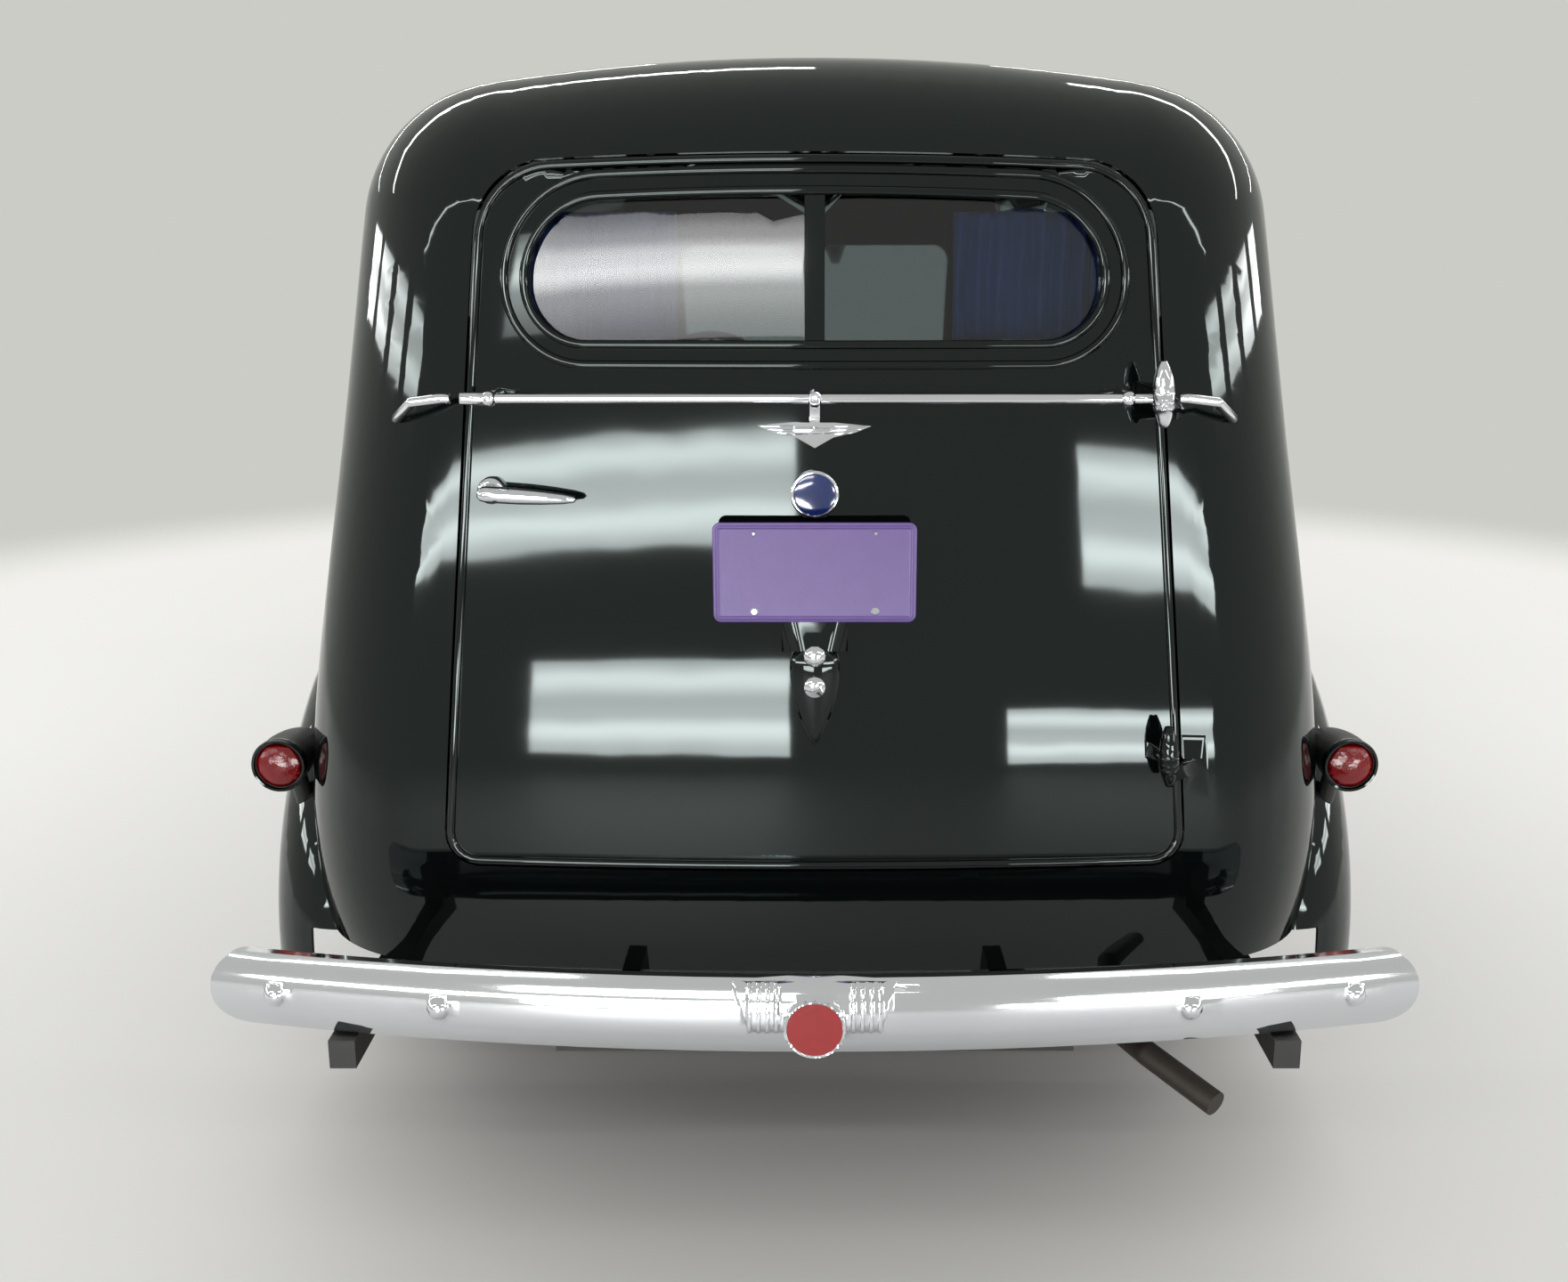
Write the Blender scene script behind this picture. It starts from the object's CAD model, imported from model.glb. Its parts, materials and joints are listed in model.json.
"""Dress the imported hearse: black lacquer, bright metal, glass, curtains, seat and tyres.

Every length is in metres. X is to the car's right, Y is forward and Z is up, with the floor
at zero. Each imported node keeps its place; a piece made here either finishes it or stands for it.
"""
from __future__ import annotations

import json
import logging
import math
from dataclasses import dataclass, field
from enum import Enum
from typing import Callable, ClassVar, Iterable, Sequence

import bmesh
import bpy
import numpy
from mathutils import Euler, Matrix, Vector
from mathutils.bvhtree import BVHTree

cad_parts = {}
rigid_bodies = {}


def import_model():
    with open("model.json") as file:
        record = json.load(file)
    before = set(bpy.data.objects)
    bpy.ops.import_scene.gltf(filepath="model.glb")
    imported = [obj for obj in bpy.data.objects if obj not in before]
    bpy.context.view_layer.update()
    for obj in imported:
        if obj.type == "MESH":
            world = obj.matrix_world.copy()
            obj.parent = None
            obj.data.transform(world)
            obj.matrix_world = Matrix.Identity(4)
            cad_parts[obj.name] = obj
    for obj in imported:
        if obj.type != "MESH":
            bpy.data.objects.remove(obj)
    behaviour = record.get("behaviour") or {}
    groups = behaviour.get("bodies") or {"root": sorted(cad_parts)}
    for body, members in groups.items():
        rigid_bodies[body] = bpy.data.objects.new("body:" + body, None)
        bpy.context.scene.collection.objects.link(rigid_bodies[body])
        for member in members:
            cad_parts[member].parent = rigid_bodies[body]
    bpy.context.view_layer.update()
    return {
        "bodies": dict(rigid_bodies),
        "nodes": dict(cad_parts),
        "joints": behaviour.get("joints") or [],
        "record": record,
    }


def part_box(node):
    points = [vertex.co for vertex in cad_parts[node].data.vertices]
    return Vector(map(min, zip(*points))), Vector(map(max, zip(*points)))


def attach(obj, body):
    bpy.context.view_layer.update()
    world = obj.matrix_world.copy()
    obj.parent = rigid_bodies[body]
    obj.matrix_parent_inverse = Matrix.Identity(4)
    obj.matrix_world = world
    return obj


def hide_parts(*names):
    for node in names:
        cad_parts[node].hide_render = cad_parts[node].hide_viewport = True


LOG = logging.getLogger("hearse")
PHOTO_WIDE = 1761
# vertices closer than this are one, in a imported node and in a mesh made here
PACKED_MERGE = 1e-5
OWN_MERGE = 1e-6
# a wave texture of scale 1 repeats after this length
WAVE_LENGTH = 0.314

Point = tuple[float, float, float]
Profile = Sequence[tuple[float, float]]
RIGHT = Vector((1.0, 0.0, 0.0))
FORWARD = Vector((0.0, 1.0, 0.0))
BACK = Vector((0.0, -1.0, 0.0))
DOWN = Vector((0.0, 0.0, -1.0))


class Side(Enum):
    """The two sides of the car, with the sign of X on each."""

    LEFT = -1
    RIGHT = 1

    @property
    def tag(self) -> str:
        """Give the side's word in a name."""
        return self.name.lower()


class Place(Enum):
    """The two axles."""

    FRONT = "front"
    REAR = "rear"


def linear(code: str) -> tuple[float, float, float, float]:
    """Turn an sRGB hex colour into the linear colour that a shader wants.

    Args:
        code: the colour as "#RRGGBB".

    Returns:
        Red, green, blue and an alpha of 1.
    """
    parts = [int(code[place:place + 2], 16) / 255 for place in (1, 3, 5)]
    values = [part / 12.92 if part <= 0.04045 else ((part + 0.055) / 1.055) ** 2.4 for part in parts]
    return (values[0], values[1], values[2], 1.0)


def add_node(
    tree: bpy.types.NodeTree,
    kind: str,
    settings: dict[str, object] | None = None,
    values: dict[str | int, object] | None = None,
    links: dict[str | int, bpy.types.NodeSocket] | None = None,
) -> bpy.types.Node:
    """Add one node to a tree.

    Args:
        tree: the tree that gets the node.
        kind: the node's type name.
        settings: the node's own properties.
        values: what its unlinked inputs hold.
        links: the sockets that feed its inputs.

    Returns:
        The new node.
    """
    node = tree.nodes.new(kind)
    for name, value in (settings or {}).items():
        setattr(node, name, value)
    for name, value in (values or {}).items():
        node.inputs[name].default_value = value
    for name, socket in (links or {}).items():
        tree.links.new(socket, node.inputs[name])
    return node


@dataclass(frozen=True)
class Finish:
    """One finish: a Principled surface with a colour that varies a little and a fine relief.

    grain and relief are real sizes in metres, and a depth of 0 leaves the relief out. strength is
    how strongly the relief shows, up to 1.
    """

    name: str
    colour: str
    shade: str = ""
    metallic: float = 0.0
    roughness: float = 0.4
    rough_spread: float = 0.0
    grain: float = 0.02
    relief: float = 0.0
    relief_size: float = 0.002
    stretch: Point = (1.0, 1.0, 1.0)
    sockets: tuple[tuple[str, float | tuple[float, ...]], ...] = ()
    strength: ClassVar[float] = 1.0

    def build(self) -> bpy.types.Material:
        """Make the material.

        Returns:
            The material, ready to be put on a mesh.
        """
        material = bpy.data.materials.new(self.name)
        material.use_nodes = True
        tree = material.node_tree
        tree.nodes.clear()
        out = add_node(tree, "ShaderNodeOutputMaterial")
        surface = add_node(tree, "ShaderNodeBsdfPrincipled")
        tree.links.new(surface.outputs["BSDF"], out.inputs["Surface"])
        surface.inputs["Metallic"].default_value = self.metallic
        surface.inputs["Base Color"].default_value = linear(self.colour)
        surface.inputs["Roughness"].default_value = self.roughness
        for socket, value in self.sockets:
            surface.inputs[socket].default_value = value
        place = add_node(tree, "ShaderNodeTexCoord")
        mapping = add_node(tree, "ShaderNodeMapping", values={"Scale": self.stretch},
                           links={"Vector": place.outputs["Object"]})
        noise = add_node(tree, "ShaderNodeTexNoise",
                         values={"Scale": 1.0 / self.grain, "Detail": 4.0, "Roughness": 0.55},
                         links={"Vector": mapping.outputs["Vector"]})
        if self.shade:
            mix = add_node(tree, "ShaderNodeMix", {"data_type": "RGBA"},
                           {"A": linear(self.colour), "B": linear(self.shade)},
                           {"Factor": noise.outputs["Fac"]})
            tree.links.new(mix.outputs["Result"], surface.inputs["Base Color"])
        if self.rough_spread > 0:
            spread = add_node(tree, "ShaderNodeMapRange",
                              values={"To Min": max(0.0, self.roughness - self.rough_spread),
                                      "To Max": self.roughness + self.rough_spread},
                              links={"Value": noise.outputs["Fac"]})
            tree.links.new(spread.outputs["Result"], surface.inputs["Roughness"])
        if self.relief > 0:
            height = self.pattern(tree, mapping.outputs["Vector"])
            bump = add_node(tree, "ShaderNodeBump",
                            values={"Strength": self.strength, "Distance": self.relief},
                            links={"Height": height})
            tree.links.new(bump.outputs["Normal"], surface.inputs["Normal"])
        return material

    def pattern(self, tree: bpy.types.NodeTree, place: bpy.types.NodeSocket) -> bpy.types.NodeSocket:
        """Add the nodes of the fine relief.

        Args:
            tree: the material's tree.
            place: the socket that places the pattern.

        Returns:
            The socket that gives the height.
        """
        fine = add_node(tree, "ShaderNodeTexNoise",
                        values={"Scale": 1.0 / self.relief_size, "Detail": 2.0},
                        links={"Vector": place})
        return fine.outputs["Fac"]


@dataclass(frozen=True)
class WovenCloth(Finish):
    """Curtain cloth: soft sheen and crossed threads, drawn at 1.5 mm so that they show."""

    thread: float = 0.0015
    strength: ClassVar[float] = 0.6

    def pattern(self, tree: bpy.types.NodeTree, place: bpy.types.NodeSocket) -> bpy.types.NodeSocket:
        """Add the nodes of the crossed threads.

        Args:
            tree: the material's tree.
            place: the socket that places the pattern.

        Returns:
            The socket that gives the height.
        """
        heights = []
        for direction in ("Z", "Y"):
            wave = add_node(tree, "ShaderNodeTexWave",
                            {"wave_type": "BANDS", "bands_direction": direction},
                            {"Scale": WAVE_LENGTH / self.thread, "Distortion": 0.6},
                            {"Vector": place})
            heights.append(wave.outputs["Fac"])
        weave = add_node(tree, "ShaderNodeMath", {"operation": "MULTIPLY"},
                         links={0: heights[0], 1: heights[1]})
        return weave.outputs["Value"]


@dataclass(frozen=True)
class Planks(Finish):
    """Varnished boards laid along the car, with grain drawn out along Y."""

    plank: float = 0.12
    strength: ClassVar[float] = 0.5

    def pattern(self, tree: bpy.types.NodeTree, place: bpy.types.NodeSocket) -> bpy.types.NodeSocket:
        """Add the nodes of the joints between the boards.

        Args:
            tree: the material's tree.
            place: the socket that places the pattern.

        Returns:
            The socket that gives the height.
        """
        wave = add_node(tree, "ShaderNodeTexWave",
                        {"wave_type": "BANDS", "bands_direction": "X", "wave_profile": "SAW"},
                        {"Scale": WAVE_LENGTH / self.plank, "Distortion": 0.0},
                        {"Vector": place})
        edge = add_node(tree, "ShaderNodeMapRange", values={"From Min": 0.0, "From Max": 0.04},
                        links={"Value": wave.outputs["Fac"]})
        return edge.outputs["Result"]


class Skin(Enum):
    """Every finish on the car, by the material it really is."""

    # cellulose lacquer on pressed steel, rubbed and polished: deep and wet, with faint waves
    LACQUER = Finish("cellulose_lacquer", "#070B0B", shade="#0A0F0E", roughness=0.04, rough_spread=0.015,
                     grain=0.6, relief=0.0004, relief_size=0.24,
                     sockets=(("IOR", 1.45), ("Specular Tint", linear("#EAF8F5"))))
    # chassis black: brushed enamel with road dust, dull and uneven
    ENAMEL = Finish("chassis_enamel", "#17181A", shade="#26241F", roughness=0.45, rough_spread=0.12,
                    grain=0.09, relief=0.0002, relief_size=0.004)
    # chromium plate on polished steel: mirror bright, a little hazy where it is rubbed
    CHROME = Finish("chromium_plate", "#E4E6EA", shade="#D6D9DE", metallic=1.0, roughness=0.07,
                    rough_spread=0.03, grain=0.15)
    # plate glass: clear, with a faint green-grey body
    GLASS = Finish("plate_glass", "#9FA9AA", roughness=0.02, grain=0.5,
                   sockets=(("Transmission Weight", 1.0), ("IOR", 1.45)))
    # pressed clear lamp glass
    LAMP_GLASS = Finish("pressed_glass", "#DCE2E6", roughness=0.06, relief=0.0006, relief_size=0.012,
                        sockets=(("Transmission Weight", 0.35), ("IOR", 1.5)))
    # red pressed glass over a dark lamp
    RED_GLASS = Finish("red_glass", "#A80410", shade="#780008", roughness=0.12, grain=0.01,
                       relief=0.0008, relief_size=0.006,
                       sockets=(("Transmission Weight", 0.1), ("Coat Weight", 0.15)))
    # rayon curtain cloth: blue, soft, with a silky sheen on the folds
    CURTAIN = WovenCloth("curtain_cloth", "#5F76C6", shade="#4359A2", roughness=0.72, grain=0.05,
                         relief=0.0003, sockets=(("Sheen Weight", 0.35), ("Sheen Roughness", 0.4)))
    # cast iron, machine enamel worn thin
    IRON = Finish("cast_iron", "#3B3E3C", shade="#2A2C2B", metallic=0.4, roughness=0.6, grain=0.05,
                  relief=0.0006, relief_size=0.006)
    # exhaust steel: oxidised, brown towards the silencer
    EXHAUST = Finish("oxidised_steel", "#4A443E", shade="#2F2A27", metallic=0.7, roughness=0.55,
                     rough_spread=0.1, grain=0.08, relief=0.0003, relief_size=0.005)
    # moulded rubber mat on the running boards, with ribs along the car
    STEP_RUBBER = Finish("moulded_rubber", "#1A1A1A", shade="#222120", roughness=0.62, grain=0.05,
                         relief=0.0012, relief_size=0.012, stretch=(1.0, 0.02, 1.0))
    # tyre rubber: matt, slightly grey where it flexes
    TYRE = Finish("tyre_rubber", "#141414", shade="#1E1D1C", roughness=0.72, rough_spread=0.06,
                  grain=0.03, relief=0.0002, relief_size=0.003)
    # varnished oak boards, grain along the deck
    OAK = Planks("varnished_oak", "#6E4524", shade="#4A2C15", roughness=0.3, rough_spread=0.06,
                 grain=0.03, relief=0.001, stretch=(6.0, 0.4, 6.0),
                 sockets=(("Coat Weight", 0.3),))
    # black hide on the bench: fine creases, drawn at 3 mm so that they show
    LEATHER = Finish("black_hide", "#1B1917", shade="#26221F", roughness=0.42, rough_spread=0.08,
                     grain=0.03, relief=0.0005, relief_size=0.003)
    # phenolic plastic, moulded and buffed
    BAKELITE = Finish("phenolic_plastic", "#15110F", shade="#1D1613", roughness=0.25, grain=0.05)
    # painted aluminium plate, purple, with nothing on it
    PLATE = Finish("painted_plate", "#7A5DB0", shade="#70549F", roughness=0.38, grain=0.03,
                   relief=0.00015, relief_size=0.004)
    # vitreous enamel in a bright rim
    RED_ENAMEL = Finish("red_enamel", "#C21A20", shade="#A9141A", roughness=0.12, grain=0.02,
                        sockets=(("Coat Weight", 0.7),))
    BLUE_ENAMEL = Finish("blue_enamel", "#1F3A86", shade="#182E6B", roughness=0.12, grain=0.02,
                         sockets=(("Coat Weight", 0.7),))


SKIN_OF_SLOT = {
    "gloss_black": Skin.LACQUER,
    "chassis_black": Skin.ENAMEL,
    "chrome": Skin.CHROME,
    "window_glass": Skin.GLASS,
    "lamp_glass": Skin.LAMP_GLASS,
    "red_glass": Skin.RED_GLASS,
    "curtain": Skin.CURTAIN,
    "engine_iron": Skin.IRON,
    "exhaust_steel": Skin.EXHAUST,
    "rubber": Skin.STEP_RUBBER,
    "tyre": Skin.TYRE,
    "deck_wood": Skin.OAK,
    "seat_leather": Skin.LEATHER,
    "cab_plastic": Skin.BAKELITE,
    "plate_paint": Skin.PLATE,
    "wheel_paint": Skin.LACQUER,
    "red_enamel": Skin.RED_ENAMEL,
}


@dataclass
class Workshop:
    """The loaded car and the finishes made so far, shared by every sub-assembly."""

    frame: dict
    materials: dict[Skin, bpy.types.Material] = field(default_factory=dict)

    def material(self, skin: Skin) -> bpy.types.Material:
        """Give a finish's material, made once."""
        if skin not in self.materials:
            self.materials[skin] = skin.value.build()
        return self.materials[skin]

    def body_of(self, node: str) -> str:
        """Give the body that a node rides on."""
        bodies = self.frame["record"]["behaviour"]["bodies"]
        return next(body for body, nodes in bodies.items() if node in nodes)

    def slot_of(self, node: str) -> str:
        """Give the material slot of a node."""
        return next(part["material_slot"] for part in self.frame["record"]["subparts"]
                    if part["node"] == node)

    def piece(self, name: str, mesh: bpy.types.Mesh, skin: Skin, body: str) -> bpy.types.Object:
        """Turn a mesh into a piece that rides on a body.

        Args:
            name: the piece's name.
            mesh: its mesh, already in its place.
            skin: its finish.
            body: the body that carries it.

        Returns:
            The new object.
        """
        mesh.materials.clear()
        mesh.materials.append(self.material(skin))
        piece = bpy.data.objects.new(name, mesh)
        bpy.context.scene.collection.objects.link(piece)
        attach(piece, body)
        LOG.info("piece %s on %s, %d faces", name, body, len(mesh.polygons))
        return piece

    def spin(self, name: str, profile: Profile, centre: Vector, axis: Vector, skin: Skin, body: str,
             steps: int = 56, crease: float = 40.0) -> bpy.types.Object:
        """Turn a profile about an axis into a piece.

        Args:
            name: the piece's name.
            profile: distance along the axis and radius, from one end to the other.
            centre: the point on the axis where the distance is 0.
            axis: the unit vector of the axis.
            skin: its finish.
            body: the body that carries it.
            steps: how many flats go round.
            crease: edges sharper than this many degrees stay sharp.

        Returns:
            The new object.
        """
        mesh = mesh_from(name, lambda form: lathe(form, profile, centre, axis, steps), crease=crease)
        return self.piece(name, mesh, skin, body)

    def repeat(self, name: str, unit: Unit, sizes: dict[str, float | int],
               spots: list[tuple[Vector, Euler]], skin: Skin, body: str) -> None:
        """Set a small form on many points as one piece.

        Args:
            name: the piece's name.
            unit: the small form.
            sizes: its sizes.
            spots: where each one goes and how it is turned.
            skin: their finish.
            body: the body that carries them.
        """
        mesh = Repeat(name, unit, sizes, spots).mesh(self.material(skin))
        self.piece(name, mesh, skin, body)


def corners_of(node: str) -> tuple[Vector, Vector]:
    """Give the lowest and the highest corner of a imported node's box."""
    low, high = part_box(node)
    return Vector(low), Vector(high)


def merged(packed: bpy.types.Object) -> bmesh.types.BMesh:
    """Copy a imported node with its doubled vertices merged.

    Args:
        packed: the node's packed object.

    Returns:
        The copy, for the caller to free.
    """
    form = bmesh.new()
    form.from_mesh(packed.data)
    bmesh.ops.remove_doubles(form, verts=form.verts, dist=PACKED_MERGE)
    return form


def thicken(piece: bpy.types.Object, thickness: float, offset: float = -1.0) -> None:
    """Give a bare surface its thickness.

    Args:
        piece: the piece.
        thickness: how thick it gets.
        offset: -1 grows it inwards and 0 to both sides.
    """
    shell = piece.modifiers.new("sheet", "SOLIDIFY")
    shell.thickness = thickness
    shell.offset = offset


def smooth_mesh(form: bmesh.types.BMesh, name: str, crease: float) -> bpy.types.Mesh:
    """Turn a bmesh into a mesh, free it and shade it smooth up to a crease angle.

    Args:
        form: the bmesh.
        name: the mesh's name.
        crease: edges sharper than this many degrees stay sharp.

    Returns:
        The finished mesh.
    """
    mesh = bpy.data.meshes.new(name)
    form.to_mesh(mesh)
    form.free()
    mesh.shade_smooth()
    mesh.set_sharp_from_angle(angle=math.radians(crease))
    return mesh


def mesh_from(name: str, build: Callable[[bmesh.types.BMesh], None], crease: float = 35.0,
              turn_out: bool = True) -> bpy.types.Mesh:
    """Make a smoothly shaded mesh with a building function.

    Args:
        name: the mesh's name.
        build: adds the vertices and faces to an empty bmesh.
        crease: edges sharper than this many degrees stay sharp.
        turn_out: whether the faces are turned outwards, as on a closed solid.

    Returns:
        The finished mesh.
    """
    form = bmesh.new()
    build(form)
    bmesh.ops.remove_doubles(form, verts=form.verts, dist=OWN_MERGE)
    if turn_out:
        bmesh.ops.recalc_face_normals(form, faces=form.faces)
    return smooth_mesh(form, name, crease)


def join_rings(form: bmesh.types.BMesh, rings: Sequence[Sequence[bmesh.types.BMVert]]) -> None:
    """Join each closed ring of vertices to the next.

    Args:
        form: the bmesh that gets the faces.
        rings: the rings, each with as many vertices, or a single one at a point.
    """
    for low, high in zip(rings, rings[1:]):
        count = max(len(low), len(high))
        for step in range(count):
            after = (step + 1) % count
            corners = [low[step % len(low)], low[after % len(low)],
                       high[after % len(high)], high[step % len(high)]]
            unique = list(dict.fromkeys(corners))
            if len(unique) > 2:
                form.faces.new(unique)


def lathe(form: bmesh.types.BMesh, profile: Profile, centre: Vector, axis: Vector, steps: int) -> None:
    """Turn a profile about an axis.

    Args:
        form: the bmesh that gets the surface.
        profile: distance along the axis and radius, from one end to the other.
        centre: the point on the axis where the distance is 0.
        axis: the unit vector of the axis.
        steps: how many flats go round.
    """
    across = axis.orthogonal().normalized()
    other = axis.cross(across)
    rings = []
    for along, radius in profile:
        middle = centre + axis * along
        if radius < OWN_MERGE:
            rings.append([form.verts.new(middle)])
            continue
        ring = []
        for step in range(steps):
            angle = math.tau * step / steps
            outward = across * math.cos(angle) + other * math.sin(angle)
            ring.append(form.verts.new(middle + radius * outward))
        rings.append(ring)
    join_rings(form, rings)


def grid(form: bmesh.types.BMesh, columns: int, rows: int, spot: Callable[[float, float], Vector]) -> None:
    """Add a grid of faces over a rule for its points.

    Args:
        form: the bmesh that gets the faces.
        columns: how many faces across.
        rows: how many faces up.
        spot: gives the point for two numbers from 0 to 1, across and up.
    """
    points = [[form.verts.new(spot(column / columns, row / rows)) for column in range(columns + 1)]
              for row in range(rows + 1)]
    for low, high in zip(points, points[1:]):
        for column in range(columns):
            form.faces.new((low[column], low[column + 1], high[column + 1], high[column]))


class Unit(Enum):
    """The small forms that are repeated."""

    HEAD = "GeometryNodeMeshCone"
    BLOCK = "GeometryNodeMeshCube"


@dataclass
class Repeat:
    """A small form set on many points by a node tree, as one plain mesh.

    A head has sides, its radius at the foot and top, and its depth; a block has its three sizes.
    """

    name: str
    unit: Unit
    sizes: dict[str, float | int]
    spots: list[tuple[Vector, Euler]]

    def tree(self, material: bpy.types.Material) -> bpy.types.NodeTree:
        """Build the node tree.

        Args:
            material: the finish that the tree sets.

        Returns:
            The tree, with one named input for each size.
        """
        tree = bpy.data.node_groups.new(self.name, "GeometryNodeTree")
        tree.interface.new_socket("Geometry", in_out="INPUT", socket_type="NodeSocketGeometry")
        for size, value in self.sizes.items():
            kind = "NodeSocketInt" if isinstance(value, int) else "NodeSocketFloat"
            tree.interface.new_socket(size, in_out="INPUT", socket_type=kind)
        tree.interface.new_socket("Geometry", in_out="OUTPUT", socket_type="NodeSocketGeometry")
        start = add_node(tree, "NodeGroupInput")
        if self.unit is Unit.HEAD:
            form = add_node(tree, self.unit.value, links={
                "Vertices": start.outputs["Sides"], "Radius Bottom": start.outputs["Foot"],
                "Radius Top": start.outputs["Top"], "Depth": start.outputs["Depth"]})
        else:
            size = add_node(tree, "ShaderNodeCombineXYZ", links={
                axis: start.outputs[axis] for axis in ("X", "Y", "Z")})
            form = add_node(tree, self.unit.value, links={"Size": size.outputs["Vector"]})
        turn = add_node(tree, "GeometryNodeInputNamedAttribute", {"data_type": "FLOAT_VECTOR"},
                        {"Name": "turn"})
        spread = add_node(tree, "GeometryNodeInstanceOnPoints", links={
            "Points": start.outputs["Geometry"], "Instance": form.outputs["Mesh"],
            "Rotation": turn.outputs["Attribute"]})
        real = add_node(tree, "GeometryNodeRealizeInstances",
                        links={"Geometry": spread.outputs["Instances"]})
        painted = add_node(tree, "GeometryNodeSetMaterial", values={"Material": material},
                           links={"Geometry": real.outputs["Geometry"]})
        add_node(tree, "NodeGroupOutput", links={"Geometry": painted.outputs["Geometry"]})
        return tree

    def mesh(self, material: bpy.types.Material) -> bpy.types.Mesh:
        """Run the tree on the points.

        Args:
            material: the finish that the tree sets.

        Returns:
            The result as a plain mesh.
        """
        points = bpy.data.meshes.new(self.name + "_points")
        points.from_pydata([spot for spot, _ in self.spots], [], [])
        turns = points.attributes.new("turn", "FLOAT_VECTOR", "POINT")
        for index, (_, turn) in enumerate(self.spots):
            turns.data[index].vector = Vector(turn)
        holder = bpy.data.objects.new(self.name + "_holder", points)
        bpy.context.scene.collection.objects.link(holder)
        modifier = holder.modifiers.new("repeat", "NODES")
        tree = self.tree(material)
        modifier.node_group = tree
        for item in tree.interface.items_tree:
            if item.in_out == "INPUT" and item.name in self.sizes:
                modifier[item.identifier] = self.sizes[item.name]
        graph = bpy.context.evaluated_depsgraph_get()
        mesh = bpy.data.meshes.new_from_object(holder.evaluated_get(graph))
        holder.modifiers.remove(modifier)
        bpy.data.objects.remove(holder)
        mesh.name = self.name
        return mesh


def surface_of(node: str, frame: dict) -> BVHTree:
    """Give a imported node's surface, to find where a ray meets it.

    Args:
        node: the node's name.

    Returns:
        The surface.
    """
    form = bmesh.new()
    form.from_mesh(frame["nodes"][node].data)
    tree = BVHTree.FromBMesh(form)
    form.free()
    return tree


@dataclass
class Sweep:
    """The fair surface of a panel's outer face, as powers of its two flat coordinates."""

    axis: int
    middle: numpy.ndarray
    weights: numpy.ndarray
    power: int = 6
    scale: float = 0.6
    facing: ClassVar[float] = 0.8
    limits: ClassVar[tuple[float, ...]] = (0.03, 0.012, 0.006, 0.004, 0.003, 0.0025)

    @property
    def powers(self) -> list[tuple[int, int]]:
        """Give the powers of the two coordinates in each term."""
        return [(one, two) for one in range(self.power + 1) for two in range(self.power + 1 - one)]

    def places(self, points: numpy.ndarray) -> tuple[numpy.ndarray, numpy.ndarray]:
        """Give the two flat coordinates of some points, from the panel's middle."""
        across = (points[:, 1 - self.axis] - self.middle[1 - self.axis]) / self.scale
        return across, (points[:, 2] - self.middle[2]) / self.scale

    def terms(self, points: numpy.ndarray) -> numpy.ndarray:
        """Give every term at some points."""
        across, up = self.places(points)
        return numpy.stack([across ** one * up ** two for one, two in self.powers], axis=1)

    def depth(self, points: numpy.ndarray) -> numpy.ndarray:
        """Give where the surface lies along its axis at some points."""
        return self.terms(points) @ self.weights

    def slopes(self, points: numpy.ndarray) -> tuple[numpy.ndarray, numpy.ndarray]:
        """Give how the surface rises at some points.

        Args:
            points: the points, of which only the flat coordinates count.

        Returns:
            The rise across and the rise up, for each point.
        """
        across, up = self.places(points)
        sideways = sum(weight * one * across ** max(one - 1, 0) * up ** two
                       for weight, (one, two) in zip(self.weights, self.powers))
        upwards = sum(weight * two * across ** one * up ** max(two - 1, 0)
                      for weight, (one, two) in zip(self.weights, self.powers))
        return sideways / self.scale, upwards / self.scale

    def normals(self, points: numpy.ndarray, sign: float) -> numpy.ndarray:
        """Give the surface's unit normals at some points.

        Args:
            points: the points, of which only the flat coordinates count.
            sign: which way along the axis the normals look.

        Returns:
            One normal for each point.
        """
        across, up = self.slopes(points)
        found = numpy.zeros_like(points)
        found[:, self.axis] = sign
        found[:, 1 - self.axis] = -sign * across
        found[:, 2] = -sign * up
        return found / numpy.linalg.norm(found, axis=1)[:, None]

    @classmethod
    def fitted(cls, mesh: bpy.types.Mesh, out: Vector) -> Sweep:
        """Fit the surface to a panel, leaving out its beads, hinges and handle.

        Args:
            mesh: the panel.
            out: the axis that its outer face looks along.

        Returns:
            The fitted surface.
        """
        axis = 0 if abs(out.x) > 0.5 else 1
        corners = numpy.array([vertex.co for vertex in mesh.vertices])
        faces = [face for face in mesh.polygons if face.normal.dot(out) > cls.facing]
        spots = corners[[index for face in faces for index in face.vertices]]
        worth = numpy.array([math.sqrt(face.area) for face in faces for _ in face.vertices])
        middle = spots.mean(axis=0)
        if axis == 1:
            middle[0] = 0.0
        sweep = cls(axis, middle, numpy.zeros(1))
        kept = numpy.ones(len(spots), dtype=bool)
        for limit in cls.limits:
            terms = sweep.terms(spots[kept]) * worth[kept, None]
            sweep.weights = numpy.linalg.lstsq(terms, spots[kept, axis] * worth[kept], rcond=None)[0]
            kept = numpy.abs(sweep.depth(spots) - spots[:, axis]) < limit
        LOG.info("swept %s with %d of %d points", mesh.name, kept.sum(), len(kept))
        return sweep


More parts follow.
